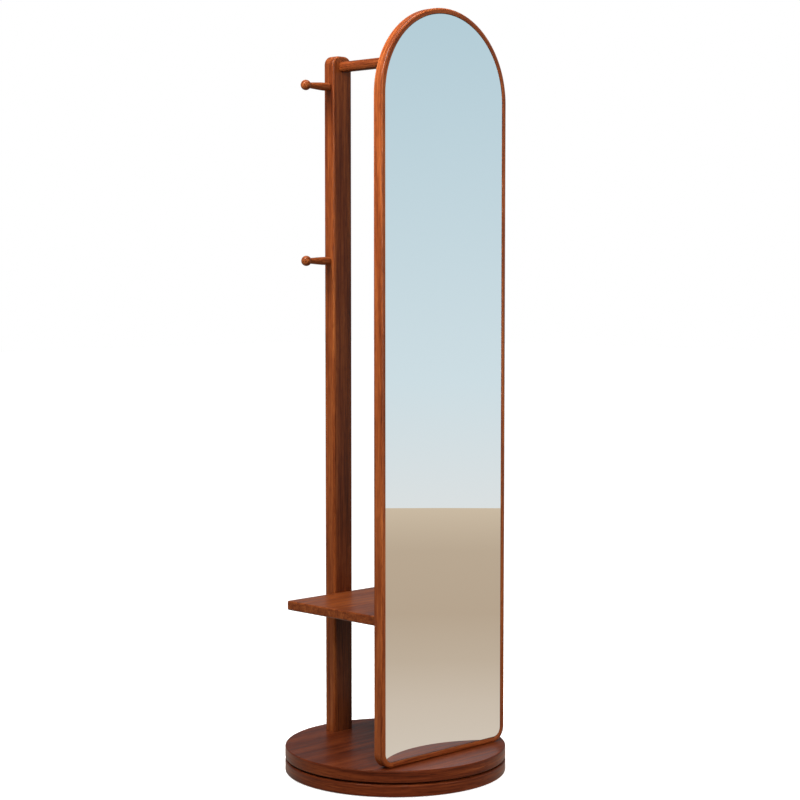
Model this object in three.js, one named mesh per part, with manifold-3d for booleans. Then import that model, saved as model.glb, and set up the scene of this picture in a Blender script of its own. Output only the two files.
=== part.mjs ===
// Cheval floor mirror on a turntable base, with a post, a hanging rail, a shelf and two pegs behind it.
// Millimetres, +Z up. The glass faces -Y, and +X is to the right as seen from in front of it.
// The origin is the centre of the base, on the floor.
import * as THREE from "three";
import { mergeVertices } from "three/addons/utils/BufferGeometryUtils.js";
import Module from "manifold-3d";

const wasm = await Module();
wasm.setup();

// ---- driving dimensions ----
const gap = 0.3; // between touching pieces

const disc = { radius: 245, thickness: 26.3, edge: 3, segments: 48 };
const turntableGap = 4.4;
const pad = { radius: 16, thickness: 3, recess: 1, circle: 205, count: 6 };

const bearing = {
  circle: 130, // of the balls' centres
  inner: 112,
  outer: 150,
  plate: 2,
  pocket: 3, // depth of the recess in each disc
  pocketClearance: 1,
  ball: 3.7,
  ballCount: 12,
  groove: 4,
  cageHalfWidth: 6,
  cageThickness: 1.6,
  screwCircle: 143,
  screwCount: 4,
};
const accessHole = { radius: 5, angle: 22.5 }; // for driving the upper race's screws from below

const frame = {
  halfWidth: 192,
  top: 1664,
  front: -153.6,
  depth: 25.2,
  width: 11.5, // of the wooden ring, seen from the front
  frontRound: 5, // outer front edge
  backRound: 3.5, // outer back edge
  innerRound: 1.2, // edge beside the glass
  corner: 33,
};
const glass = { recess: 2, thickness: 4, clearance: 0.5 };
const boardThickness = 12;

const post = { width: 57, depth: 32, top: 1588, front: 167, corner: 20, edge: 5.5 };
const railDrop = 24; // from the post's top to the rail's middle
const railRadius = 12;
const shelf = { halfWidth: 173, top: 379.5, thickness: 21, corner: 4, edge: 3.5 };
const cleat = { halfLength: 140, side: 20, edge: 1.5 };

const peg = {
  levels: { peg_upper: 1519, peg_lower: 1131 },
  reach: 68.4, // from the post's side to the middle of the ball
  ball: 11.5,
  neck: 6.3,
  tenonRadius: 5,
  tenonLength: 18,
};

const screw = { shank: 1.8, length: 12, head: 3.4, headHeight: 1.4 };
const bolt = { shank: 3, head: 6, headHeight: 4 };
const boltSink = { base: 6, post: 5 }; // counterbores under the base's top disc and in the post's back
const cap = { radius: 7.5, height: 1.9 };
const dowel = { radius: 3, halfLength: 14 };

// ---- levels and places worked out from them ----
const lowerDiscBottom = pad.thickness - pad.recess;
const lowerDiscTop = lowerDiscBottom + disc.thickness;
const upperDiscBottom = lowerDiscTop + turntableGap;
const upperDiscTop = upperDiscBottom + disc.thickness;
const ballLevel = (lowerDiscTop + upperDiscBottom) / 2;

const frameBottom = upperDiscTop + gap;
const frameBack = frame.front + frame.depth;
const archLevel = frame.top - frame.halfWidth;
const cornerLevel = frameBottom + frame.corner;
const ringMiddle = (frame.front + frameBack) / 2;
const ringCentreX = frame.halfWidth - frame.width / 2;
const glassFront = frame.front + glass.recess;
const boardFront = glassFront + glass.thickness + gap;
const boardBack = boardFront + boardThickness;
const boardMiddle = (boardFront + boardBack) / 2;

const postBack = post.front + post.depth;
const postMiddle = post.front + post.depth / 2;
const railLevel = post.top - railDrop;
const railStart = boardBack + gap;
const railEnd = post.front - gap;
const shelfBottom = shelf.top - shelf.thickness;
const shelfMiddle = shelf.top - shelf.thickness / 2;
const cleatBottom = shelfBottom - gap - cleat.side;
const cleatLevel = cleatBottom + cleat.side / 2;
const cleatMiddle = railStart + cleat.side / 2;

const mirrorBoltX = 110;
const postBoltX = 13;
const shelfBoltX = 13;
const cleatScrewX = 60;
const shelfScrewX = 110;
const boltDepth = { board: 36, post: 40, cross: 28 }; // cross: into the ends of the rail and the shelf
const cleatScrewDepth = 9; // also the rail's stud, in the board
const spareDepth = 4; // each blind hole is this much deeper than what it holds

const boltHole = bolt.shank + gap;
const screwHole = screw.shank + gap;
const dowelHole = dowel.radius + gap;

// ---- colours ----
const walnut = new THREE.MeshStandardMaterial({ color: 0x8a4526, roughness: 0.42 });
const darkWalnut = new THREE.MeshStandardMaterial({ color: 0x6e3320, roughness: 0.45 });
const brownBoard = new THREE.MeshStandardMaterial({ color: 0x7a4630, roughness: 0.6 });
const beech = new THREE.MeshStandardMaterial({ color: 0xc8a070, roughness: 0.7 });
const silvered = new THREE.MeshStandardMaterial({ color: 0xf2f5f7, roughness: 0.02, metalness: 1 });
const steel = new THREE.MeshStandardMaterial({ color: 0xb4b6b8, roughness: 0.35, metalness: 1 });
const rubber = new THREE.MeshStandardMaterial({ color: 0x242424, roughness: 0.9 });
const brownPlastic = new THREE.MeshStandardMaterial({ color: 0x5a2b1a, roughness: 0.5 });

// ---- joining and cutting ----
function solidFrom(geometry) {
  const bare = geometry.clone();
  bare.deleteAttribute("normal");
  bare.deleteAttribute("uv");
  const merged = mergeVertices(bare, 1e-4);
  const vertProperties = merged.attributes.position.array;
  const triVerts = new Uint32Array(merged.index.array);
  return new wasm.Manifold(new wasm.Mesh({ numProp: 3, vertProperties, triVerts }));
}

function geometryFrom(solid) {
  const { vertProperties, triVerts } = solid.getMesh();
  const geometry = new THREE.BufferGeometry();
  geometry.setAttribute("position", new THREE.BufferAttribute(vertProperties, 3));
  geometry.setIndex(new THREE.BufferAttribute(triVerts, 1));
  return geometry;
}

function cut(body, tools) {
  return geometryFrom(tools.map(solidFrom).reduce((solid, tool) => solid.subtract(tool), solidFrom(body)));
}

function join(pieces) {
  return geometryFrom(pieces.map(solidFrom).reduce((solid, piece) => solid.add(piece)));
}

// The part of a body that lies between two opposite corners of a block.
function keepBetween(body, low, high) {
  const size = high.map((value, i) => value - low[i]);
  const middle = high.map((value, i) => (value + low[i]) / 2);
  const region = new THREE.BoxGeometry(...size).translate(...middle);
  return geometryFrom(solidFrom(body).intersect(solidFrom(region)));
}

// ---- basic shapes ----
// A cylinder along X, Y or Z, placed by its two other coordinates.
function rod(axis, radius, from, to, [a, b], sides = 8) {
  const shape = new THREE.CylinderGeometry(radius, radius, to - from, sides);
  const middle = (from + to) / 2;
  if (axis === "x") return shape.rotateZ(Math.PI / 2).translate(middle, a, b);
  if (axis === "z") return shape.rotateX(Math.PI / 2).translate(a, b, middle);
  return shape.translate(a, middle, b);
}

// A profile of [radius, height] points turned about the vertical axis.
function turned(profile, segments) {
  const points = profile.map(([radius, height]) => new THREE.Vector2(radius, height));
  return new THREE.LatheGeometry(points, segments).rotateX(Math.PI / 2);
}

// Points along an arc, from one angle to another in degrees.
function arc(x, y, radius, startAngle, endAngle, steps = 2) {
  return Array.from({ length: steps + 1 }, (_, i) => {
    const angle = THREE.MathUtils.degToRad(startAngle + ((endAngle - startAngle) * i) / steps);
    return [x + radius * Math.cos(angle), y + radius * Math.sin(angle)];
  });
}

// A flat outline given a thickness upwards from z = 0, with its edges broken all round.
function slab(outline, thickness, edge = 0) {
  const shape = new THREE.Shape(outline.map(([x, y]) => new THREE.Vector2(x, y)));
  const geometry = new THREE.ExtrudeGeometry(shape, {
    depth: thickness - 2 * edge,
    bevelEnabled: edge > 0,
    bevelThickness: edge,
    bevelSize: edge,
    bevelOffset: -edge,
    bevelSegments: 1,
  });
  return geometry.translate(0, 0, edge);
}

// The same, with the outline standing in X and Z and its front face at the given Y.
function uprightSlab(outline, front, thickness, edge) {
  return slab(outline, thickness, edge).rotateX(Math.PI / 2).translate(0, front + thickness, 0);
}

function roundTheCircle(radius, count, firstAngle = 0) {
  return Array.from({ length: count }, (_, i) => {
    const angle = THREE.MathUtils.degToRad(firstAngle + (360 * i) / count);
    return [radius * Math.cos(angle), radius * Math.sin(angle)];
  });
}

const root = new THREE.Group();
function add(name, geometry, material) {
  const mesh = new THREE.Mesh(geometry, material);
  mesh.name = name;
  root.add(mesh);
  return mesh;
}
const sides = [["left", -1], ["right", 1]];

// ---- fasteners ----
// A pan-head screw with its head on z = 0 and its shank pointing down.
function panScrew(length) {
  return turned([
    [0, -length], [screw.shank, -length + 3], [screw.shank, 0],
    [screw.head, 0], [screw.head - 0.4, screw.headHeight - 0.3], [0, screw.headHeight],
  ], 8);
}

// A bolt with its head below z = 0 and its shank pointing up.
function capBolt(length) {
  return turned([
    [0, -bolt.headHeight], [bolt.head - 0.6, -bolt.headHeight],
    [bolt.head, -bolt.headHeight + 0.6], [bolt.head, 0],
    [bolt.shank, 0], [bolt.shank, length - 1], [bolt.shank - 1, length], [0, length],
  ], 8);
}

// ---- base: two discs, the pads and the bearing between them ----
const padPlaces = roundTheCircle(pad.circle, pad.count, 30);
const lowerScrewPlaces = roundTheCircle(bearing.screwCircle, bearing.screwCount, 45);
const upperScrewPlaces = roundTheCircle(bearing.screwCircle, bearing.screwCount, 0);
const accessPlaces = roundTheCircle(bearing.screwCircle, 1, accessHole.angle);
const baseBoltPlaces = [
  [-mirrorBoltX, boardMiddle], [mirrorBoltX, boardMiddle],
  [-postBoltX, postMiddle], [postBoltX, postMiddle],
];

// A disc lying on z = 0, with the bearing's pocket in its top and pilot holes in the pocket's floor.
function discWithPocket(screwPlaces) {
  const { radius, thickness, edge } = disc;
  const inner = bearing.inner - bearing.pocketClearance;
  const outer = bearing.outer + bearing.pocketClearance;
  const floor = thickness - bearing.pocket;
  const body = turned([
    [0, 0],
    ...arc(radius - edge, edge, edge, -90, 0),
    ...arc(radius - edge, thickness - edge, edge, 0, 90),
    [outer, thickness], [outer, floor], [inner, floor], [inner, thickness], [0, thickness],
  ], disc.segments);
  const pilotEnd = floor - screw.length - 1;
  return cut(body, screwPlaces.map((place) => rod("z", screwHole, pilotEnd, thickness, place)));
}

function lowerDisc() {
  const body = discWithPocket(lowerScrewPlaces).translate(0, 0, lowerDiscBottom);
  const padRoof = pad.thickness + gap;
  return cut(body, [
    ...padPlaces.map((place) => rod("z", pad.radius + 1, 0, padRoof, place, 16)),
    ...accessPlaces.map((place) => rod("z", accessHole.radius, 0, lowerDiscTop, place, 12)),
  ]);
}

function upperDisc() {
  const body = discWithPocket(upperScrewPlaces).rotateX(Math.PI).translate(0, 0, upperDiscTop);
  const below = upperDiscBottom - 1;
  return cut(body, [
    ...baseBoltPlaces.map((place) => rod("z", boltHole, below, upperDiscTop + 1, place)),
    ...baseBoltPlaces.map((place) => rod("z", bolt.head + 1, below, upperDiscBottom + boltSink.base, place)),
  ]);
}

// A race lies with its back on z = 0 and its ball groove on top.
function race(screwPlaces, accessPlaces) {
  const { inner, outer, circle, plate, groove } = bearing;
  const ballCentre = turntableGap / 2 + bearing.pocket - gap;
  const halfAngle = THREE.MathUtils.radToDeg(Math.acos((ballCentre - plate) / groove));
  const body = turned([
    [inner, 0], [outer, 0], [outer, plate],
    ...arc(circle, ballCentre, groove, -90 + halfAngle, -90 - halfAngle),
    [inner, plate], [inner, 0],
  ], disc.segments);
  return cut(body, [
    ...screwPlaces.map((place) => rod("z", screwHole, -1, plate + 1, place)),
    ...accessPlaces.map((place) => rod("z", accessHole.radius, -1, plate + 1, place, 12)),
  ]);
}

// The flat ring that spaces the balls, with the balls in it, about z = 0.
function ballCage() {
  const { circle, cageHalfWidth, cageThickness, ballCount } = bearing;
  const [inner, outer] = [circle - cageHalfWidth, circle + cageHalfWidth];
  const half = cageThickness / 2;
  const section = [[inner, -half], [outer, -half], [outer, half], [inner, half], [inner, -half]];
  const ring = turned(section, 2 * ballCount);
  const ballPlaces = roundTheCircle(circle, ballCount, 90 / ballCount);
  const balls = ballPlaces.map(([x, y]) => new THREE.SphereGeometry(bearing.ball, 6, 4).translate(x, y, 0));
  return join([ring, ...balls]);
}

add("lower_disc", lowerDisc(), darkWalnut);
padPlaces.forEach((place, i) => {
  add(`foot_pad_${i + 1}`, rod("z", pad.radius, 0, pad.thickness, place, 16), rubber);
});

const lowerRaceBack = lowerDiscTop - bearing.pocket + gap;
add("lower_race", race(lowerScrewPlaces, accessPlaces), steel).position.z = lowerRaceBack;
lowerScrewPlaces.forEach(([x, y], i) => {
  const mesh = add(`lower_race_screw_${i + 1}`, panScrew(screw.length), steel);
  mesh.position.set(x, y, lowerRaceBack + bearing.plate + gap);
});

add("ball_cage", ballCage(), steel).position.z = ballLevel;

const upperRaceBack = upperDiscBottom + bearing.pocket - gap;
const upperRace = add("upper_race", race(upperScrewPlaces, []), steel);
upperRace.rotation.x = Math.PI;
upperRace.position.z = upperRaceBack;
upperScrewPlaces.forEach(([x, y], i) => {
  const mesh = add(`upper_race_screw_${i + 1}`, panScrew(screw.length), steel);
  mesh.rotation.x = Math.PI;
  mesh.position.set(x, y, upperRaceBack - bearing.plate - gap);
});

add("upper_disc", upperDisc(), darkWalnut);

// ---- mirror: a wooden ring in five pieces, the glass and the board behind it ----
// The ring's section: across from its outer edge (0) to its inner edge (-width), and in depth.
const ringSection = [
  ...arc(-frame.frontRound, frame.front + frame.frontRound, frame.frontRound, -90, 0, 3),
  ...arc(-frame.backRound, frameBack - frame.backRound, frame.backRound, 0, 90),
  [-frame.width, frameBack],
  ...arc(-frame.width + frame.innerRound, frame.front + frame.innerRound, frame.innerRound, 180, 270, 1),
];

// The ring's section turned about an axis along Y.
function turnedRing(radius, x, z, segments) {
  const points = ringSection.map(([across, depth]) => new THREE.Vector2(radius + across, depth));
  points.push(points[0].clone());
  return new THREE.LatheGeometry(points, segments).translate(x, 0, z);
}

// A straight length of the ring along Z, with its outer edge at x = 0 and its inner edge towards -X.
function straightRing(from, to) {
  return slab(ringSection, to - from).translate(0, 0, from);
}

// Everything between two X positions and two levels, across the ring's depth.
function ringPart(body, [x1, x2], [z1, z2]) {
  return keepBetween(body, [Math.min(x1, x2), frame.front - 1, z1], [Math.max(x1, x2), frameBack + 1, z2]);
}

function upDowelHole(side, from, to) {
  return rod("z", dowelHole, from, to, [side * ringCentreX, ringMiddle]);
}

// The same shape on the other side of x = 0.
function mirrored(geometry) {
  return geometryFrom(solidFrom(geometry).mirror([1, 0, 0]));
}

const dowelDepth = dowel.halfLength + 1;
function stile(side) {
  const [bottom, top] = [cornerLevel + gap / 2, archLevel - gap / 2];
  const right = straightRing(bottom, top).translate(frame.halfWidth, 0, 0);
  const bar = side > 0 ? right : mirrored(right);
  return cut(bar, [
    upDowelHole(side, cornerLevel, cornerLevel + dowelDepth),
    upDowelHole(side, archLevel - dowelDepth, archLevel),
  ]);
}

function archHalf(side) {
  const ring = turnedRing(frame.halfWidth, 0, archLevel, 56);
  const across = [(side * gap) / 2, side * (frame.halfWidth + 1)];
  const quarter = ringPart(ring, across, [archLevel + gap / 2, frame.top + 1]);
  const crown = [ringMiddle, frame.top - frame.width / 2];
  return cut(quarter, [
    upDowelHole(side, archLevel, archLevel + dowelDepth),
    rod("x", dowelHole, -dowelDepth, dowelDepth, crown),
  ]);
}

function bottomRail() {
  const straight = frame.halfWidth - frame.corner;
  const bar = straightRing(-straight, straight).rotateY(Math.PI / 2).translate(0, 0, frameBottom);
  const corners = sides.map(([, side]) => {
    const ring = turnedRing(frame.corner, side * straight, cornerLevel, 20);
    const across = [side * straight, side * (frame.halfWidth + 1)];
    return ringPart(ring, across, [frameBottom - 1, cornerLevel - gap / 2]);
  });
  return cut(join([bar, ...corners]), sides.flatMap(([, side]) => [
    upDowelHole(side, cornerLevel - dowelDepth, cornerLevel),
    rod("z", boltHole, frameBottom - 1, frameBottom + frame.width + 1, [side * mirrorBoltX, boardMiddle]),
  ]));
}

// Arched outline inside the ring, smaller all round by the clearance.
function archedOutline(clearance) {
  const half = frame.halfWidth - frame.width - clearance;
  const bottom = frameBottom + frame.width + clearance;
  const round = frame.corner - frame.width - clearance;
  return [
    ...arc(half - round, bottom + round, round, -90, 0, 4),
    ...arc(0, archLevel, half, 0, 180, 28),
    ...arc(-half + round, bottom + round, round, 180, 270, 4),
  ];
}

function backBoard() {
  const board = uprightSlab(archedOutline(gap), boardFront, boardThickness);
  const blindEnd = boardBack - cleatScrewDepth - 1;
  const boltTop = frameBottom + frame.width + boltDepth.board + spareDepth;
  return cut(board, [
    rod("y", boltHole, blindEnd, boardBack + 1, [0, railLevel]),
    ...sides.map(([, side]) => rod("z", boltHole, frameBottom, boltTop, [side * mirrorBoltX, boardMiddle])),
    ...sides.map(([, side]) => rod("y", screwHole, blindEnd, boardBack + 1, [side * cleatScrewX, cleatLevel])),
  ]);
}

sides.forEach(([name, side]) => {
  add(`${name}_stile`, stile(side), walnut);
  add(`arch_${name}`, archHalf(side), walnut);
});
add("bottom_rail", bottomRail(), walnut);
add("mirror_glass", uprightSlab(archedOutline(glass.clearance), glassFront, glass.thickness), silvered);
add("back_board", backBoard(), brownBoard);

sides.forEach(([name, side]) => {
  for (const [joint, level] of [["corner", cornerLevel], ["spring", archLevel]]) {
    const pin = rod("z", dowel.radius, -dowel.halfLength, dowel.halfLength, [0, 0]);
    add(`dowel_${joint}_${name}`, pin, beech).position.set(side * ringCentreX, ringMiddle, level);
  }
});
const crownPin = rod("x", dowel.radius, -dowel.halfLength, dowel.halfLength, [0, 0]);
add("dowel_crown", crownPin, beech).position.set(0, ringMiddle, frame.top - frame.width / 2);

// ---- post, rail, shelf and pegs ----
const postBoltPoints = [
  ["rail", 0, railLevel],
  ["shelf_left", -shelfBoltX, shelfMiddle],
  ["shelf_right", shelfBoltX, shelfMiddle],
];

function postBody() {
  const half = post.width / 2;
  const outline = [
    [-half, upperDiscTop - post.edge], [half, upperDiscTop - post.edge],
    ...arc(half - post.corner, post.top - post.corner, post.corner, 0, 90, 7),
    ...arc(post.corner - half, post.top - post.corner, post.corner, 90, 180, 7),
  ];
  const bar = uprightSlab(outline, post.front, post.depth, post.edge);
  const squareFoot = keepBetween(
    bar,
    [-post.width, post.front - 1, upperDiscTop + gap],
    [post.width, postBack + 1, post.top + 1],
  );
  const pegHoles = Object.values(peg.levels).map((level) =>
    rod("x", peg.tenonRadius + 2 * gap, -half - 1, -half + peg.tenonLength + 1, [postMiddle, level], 12));
  const footHoleTop = upperDiscTop + boltDepth.post + spareDepth;
  const footHoles = sides.map(([, side]) =>
    rod("z", boltHole, upperDiscTop, footHoleTop, [side * postBoltX, postMiddle]));
  const sinkFloor = postBack - boltSink.post;
  return cut(squareFoot, [
    ...postBoltPoints.map(([, x, z]) => rod("y", boltHole, post.front - 1, postBack + 1, [x, z])),
    ...postBoltPoints.map(([, x, z]) => rod("y", bolt.head + gap, sinkFloor, postBack + 1, [x, z])),
    ...pegHoles,
    ...footHoles,
  ]);
}

function hangingRail() {
  const edge = 1;
  const profile = [
    [0, railStart], [railRadius - edge, railStart], [railRadius, railStart + edge],
    [railRadius, railEnd - edge], [railRadius - edge, railEnd], [0, railEnd],
  ].map(([radius, y]) => new THREE.Vector2(radius, y));
  const bar = new THREE.LatheGeometry(profile, 20).translate(0, 0, railLevel);
  const depth = boltDepth.cross + spareDepth;
  return cut(bar, [
    rod("y", boltHole, railStart - 1, railStart + depth, [0, railLevel]),
    rod("y", boltHole, railEnd - depth, railEnd + 1, [0, railLevel]),
  ]);
}

function shelfBody() {
  const { halfWidth, corner, thickness, edge } = shelf;
  const x = halfWidth - corner;
  const [near, far] = [railStart + corner, railEnd - corner];
  const outline = [
    ...arc(x, near, corner, -90, 0), ...arc(x, far, corner, 0, 90),
    ...arc(-x, far, corner, 90, 180), ...arc(-x, near, corner, 180, 270),
  ];
  const boltEnd = railEnd - boltDepth.cross - spareDepth;
  const screwEnd = shelfBottom + cleatScrewDepth + 1;
  const holes = sides.flatMap(([, side]) => [
    rod("y", boltHole, boltEnd, railEnd + 1, [side * shelfBoltX, shelfMiddle]),
    rod("z", screwHole, shelfBottom - 1, screwEnd, [side * shelfScrewX, cleatMiddle]),
  ]);
  return cut(slab(outline, thickness, edge).translate(0, 0, shelfBottom), holes);
}

function shelfCleat() {
  const { halfLength, side: width, edge } = cleat;
  const outline = [
    [-halfLength, railStart], [halfLength, railStart],
    [halfLength, railStart + width], [-halfLength, railStart + width],
  ];
  const holes = sides.flatMap(([, side]) => [
    rod("y", screwHole, railStart - 1, railStart + width + 1, [side * cleatScrewX, cleatLevel]),
    rod("z", screwHole, cleatBottom - 1, cleatBottom + width + 1, [side * shelfScrewX, cleatMiddle]),
  ]);
  return cut(slab(outline, width, edge).translate(0, 0, cleatBottom), holes);
}

// A turned peg along -X from the post's side: tenon, tapered shank and ball.
function pegBody() {
  const neckAngle = THREE.MathUtils.radToDeg(Math.asin(peg.neck / peg.ball));
  const profile = [
    [-peg.tenonLength, 0], [-peg.tenonLength, peg.tenonRadius], [gap, peg.tenonRadius],
    [gap, 8.3], [1, 8.9], [20, 8.9], [37, 8],
    ...arc(peg.reach, 0, peg.ball, 180 - neckAngle, 0, 6),
  ].map(([reach, radius]) => new THREE.Vector2(Math.max(radius, 0), reach));
  return new THREE.LatheGeometry(profile, 16).rotateZ(Math.PI / 2);
}

add("post", postBody(), walnut);
add("hanging_rail", hangingRail(), walnut);
add("shelf", shelfBody(), walnut);
add("shelf_cleat", shelfCleat(), darkWalnut);
for (const [name, level] of Object.entries(peg.levels)) {
  add(name, pegBody(), walnut).position.set(-post.width / 2, postMiddle, level);
}

// ---- bolts, screws and caps ----
const baseBoltSeat = upperDiscBottom + boltSink.base - gap;
const throughDisc = upperDiscTop - baseBoltSeat;
const mirrorBoltLength = throughDisc + frame.width + boltDepth.board;
const postBoltLength = throughDisc + boltDepth.post;
const screwThroughCleat = cleat.side + cleatScrewDepth;
sides.forEach(([name, side]) => {
  const mirrorBolt = add(`mirror_bolt_${name}`, capBolt(mirrorBoltLength), steel);
  mirrorBolt.position.set(side * mirrorBoltX, boardMiddle, baseBoltSeat);
  const postBolt = add(`post_bolt_${name}`, capBolt(postBoltLength), steel);
  postBolt.position.set(side * postBoltX, postMiddle, baseBoltSeat);
  const intoBoard = add(`cleat_screw_${name}`, panScrew(screwThroughCleat), steel);
  intoBoard.rotation.x = -Math.PI / 2;
  intoBoard.position.set(side * cleatScrewX, railStart + cleat.side + gap, cleatLevel);
  const intoShelf = add(`shelf_screw_${name}`, panScrew(screwThroughCleat), steel);
  intoShelf.rotation.x = Math.PI;
  intoShelf.position.set(side * shelfScrewX, cleatMiddle, cleatBottom - gap);
});

const postBoltSeat = postBack - boltSink.post + gap;
postBoltPoints.forEach(([name, x, z]) => {
  const through = add(`${name}_bolt`, capBolt(postBoltSeat - railEnd + boltDepth.cross), steel);
  through.rotation.x = Math.PI / 2;
  through.position.set(x, postBoltSeat, z);
  const disk = turned([[0, 0], [cap.radius, 0], [cap.radius - 0.4, cap.height / 2], [0, cap.height]], 16);
  const cover = add(`${name}_bolt_cap`, disk, brownPlastic);
  cover.rotation.x = -Math.PI / 2;
  cover.position.set(x, postBack + gap, z);
});

const studBack = boardBack - cleatScrewDepth;
add("rail_stud", rod("y", bolt.shank, studBack, railStart + boltDepth.cross, [0, railLevel]), steel);

export default root;
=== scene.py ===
import bpy
import bmesh
import math
from mathutils import Matrix, Vector


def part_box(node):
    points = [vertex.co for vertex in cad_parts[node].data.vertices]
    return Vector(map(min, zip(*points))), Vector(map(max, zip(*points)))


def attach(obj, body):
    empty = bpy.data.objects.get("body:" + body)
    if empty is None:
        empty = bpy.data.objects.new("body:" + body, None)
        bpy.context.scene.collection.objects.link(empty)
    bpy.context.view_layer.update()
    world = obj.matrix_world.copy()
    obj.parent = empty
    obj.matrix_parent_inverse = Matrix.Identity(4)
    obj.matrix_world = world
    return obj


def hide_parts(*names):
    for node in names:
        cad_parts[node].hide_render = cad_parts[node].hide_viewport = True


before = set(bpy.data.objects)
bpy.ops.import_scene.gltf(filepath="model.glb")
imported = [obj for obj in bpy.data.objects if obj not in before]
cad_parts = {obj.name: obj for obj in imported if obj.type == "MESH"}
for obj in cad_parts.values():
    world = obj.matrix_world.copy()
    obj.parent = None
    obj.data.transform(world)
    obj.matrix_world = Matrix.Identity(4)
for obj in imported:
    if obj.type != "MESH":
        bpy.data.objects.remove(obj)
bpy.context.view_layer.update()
bpy.ops.object.select_all(action="DESELECT")
print("frame loaded:", len(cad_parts), "nodes")

axisIndex = {"x": 0, "y": 1, "z": 2}
axisTurn = {"x": (0, math.pi / 2, 0), "y": (-math.pi / 2, 0, 0), "z": (0, 0, 0)}
fitGap = 0.0003  # the running gap the frame keeps between touching pieces
pastFace = 0.001  # how far a cutter runs past the face that it cuts


# ways of working that every piece shares

def makeActive(piece):
    bpy.ops.object.select_all(action="DESELECT")
    piece.select_set(True)
    bpy.context.view_layer.objects.active = piece


def placed(axis, along, across):
    place = list(across)
    place.insert(axisIndex[axis], along)
    return place


def middleOf(node):
    low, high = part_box(node)
    return (low + high) / 2


def acrossOf(node, axis):  # the node's middle, on the two axes across the given one
    middle = middleOf(node)
    return [middle[i] for i in range(3) if i != axisIndex[axis]]


def pieceName(node):  # rail_bolt becomes railBolt
    first, *rest = node.split("_")
    return first + "".join(word.capitalize() for word in rest)


def startRod(axis, radius, start, end, across, sides=48):
    bpy.ops.object.select_all(action="DESELECT")
    bpy.ops.mesh.primitive_cylinder_add(
        vertices=sides, radius=radius, depth=abs(end - start),
        location=placed(axis, (start + end) / 2, across), rotation=axisTurn[axis],
    )
    bpy.ops.object.transform_apply(location=True, rotation=True, scale=True)
    return bpy.context.object


def startBlock(low, high):
    low, high = Vector(low), Vector(high)
    bpy.ops.object.select_all(action="DESELECT")
    bpy.ops.mesh.primitive_cube_add(size=1, location=(low + high) / 2)
    bpy.context.object.scale = high - low
    bpy.ops.object.transform_apply(location=True, rotation=True, scale=True)
    return bpy.context.object


def edit():
    bpy.ops.object.mode_set(mode="EDIT")


def doneEditing():
    bpy.ops.object.mode_set(mode="OBJECT")


def pick(kind, chosen):
    bpy.ops.mesh.select_mode(type=kind)
    bpy.ops.mesh.select_all(action="DESELECT")
    piece = bpy.context.object
    mesh = bmesh.from_edit_mesh(piece.data)
    for part in {"VERT": mesh.verts, "EDGE": mesh.edges, "FACE": mesh.faces}[kind]:
        if chosen(part):
            part.select_set(True)
    bmesh.update_edit_mesh(piece.data)


def near(a, b):
    return abs(a - b) < 2e-6


def onLevel(axis, *levels):  # edges or faces that lie whole on one of these levels
    i = axisIndex[axis]
    return lambda part: any(all(near(v.co[i], level) for v in part.verts) for level in levels)


def runsAlong(axis):  # edges parallel to an axis
    others = [i for i in range(3) if i != axisIndex[axis]]
    return lambda edge: all(near(edge.verts[0].co[i], edge.verts[1].co[i]) for i in others)


def roundOff(chosen, size, steps):
    pick("EDGE", chosen)
    bpy.ops.mesh.bevel(offset=size, offset_type="OFFSET", segments=steps, profile=0.5, affect="EDGES")


def extrudeBy(shift):
    bpy.ops.mesh.extrude_region_move(TRANSFORM_OT_translate={"value": tuple(shift)})


def cutOut(piece, *cutters, operation="DIFFERENCE"):
    makeActive(cutters[0])
    for cutter in cutters:
        cutter.select_set(True)
    if len(cutters) > 1:
        bpy.ops.object.join()
    cutter = bpy.context.object
    makeActive(piece)
    cut = piece.modifiers.new("cut", "BOOLEAN")
    cut.operation = operation
    cut.solver = "EXACT"
    cut.object = cutter
    bpy.ops.object.modifier_apply(modifier="cut")
    bpy.data.objects.remove(cutter)
    return piece


def drill(axis, radius, node, start, end, sides=32):  # a cutter in line with the node
    return startRod(axis, radius, start, end, acrossOf(node, axis), sides)


def turnPiece(axis, start, across, rings, sides=48, direction=1):
    # a filled circle is drawn out ring by ring: [distance from start, radius]
    i = axisIndex[axis]
    (first, radius), rest = rings[0], rings[1:]
    bpy.ops.object.select_all(action="DESELECT")
    bpy.ops.mesh.primitive_circle_add(
        vertices=sides, radius=radius, fill_type="NGON",
        location=placed(axis, start + direction * first, across), rotation=axisTurn[axis],
    )
    bpy.ops.object.transform_apply(location=True, rotation=True, scale=True)
    edit()
    bpy.ops.mesh.select_mode(type="FACE")
    bpy.ops.mesh.select_all(action="SELECT")
    at = first
    for distance, nextRadius in rest:
        shift, size = [0, 0, 0], [nextRadius / radius] * 3
        shift[i] = direction * (distance - at)
        size[i] = 1
        extrudeBy(shift)
        centre = placed(axis, start + direction * distance, across)
        bpy.ops.transform.resize(value=size, center_override=centre)
        at, radius = distance, nextRadius
    bpy.ops.mesh.select_all(action="SELECT")
    bpy.ops.mesh.normals_make_consistent(inside=False)
    doneEditing()
    return bpy.context.object


def arcRings(centre, middle, radius, startAngle, endAngle, steps):
    # rings of a rounded shoulder: centre is along the axis, middle is the round's own distance out
    rings = []
    for step in range(steps + 1):
        angle = math.radians(startAngle + (endAngle - startAngle) * step / steps)
        rings.append((centre - radius * math.cos(angle), middle + radius * math.sin(angle)))
    return rings


def copyPiece(piece, matrix):
    twin = piece.copy()
    twin.data = piece.data.copy()
    bpy.context.scene.collection.objects.link(twin)
    twin.data.transform(matrix)
    return twin


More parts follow.
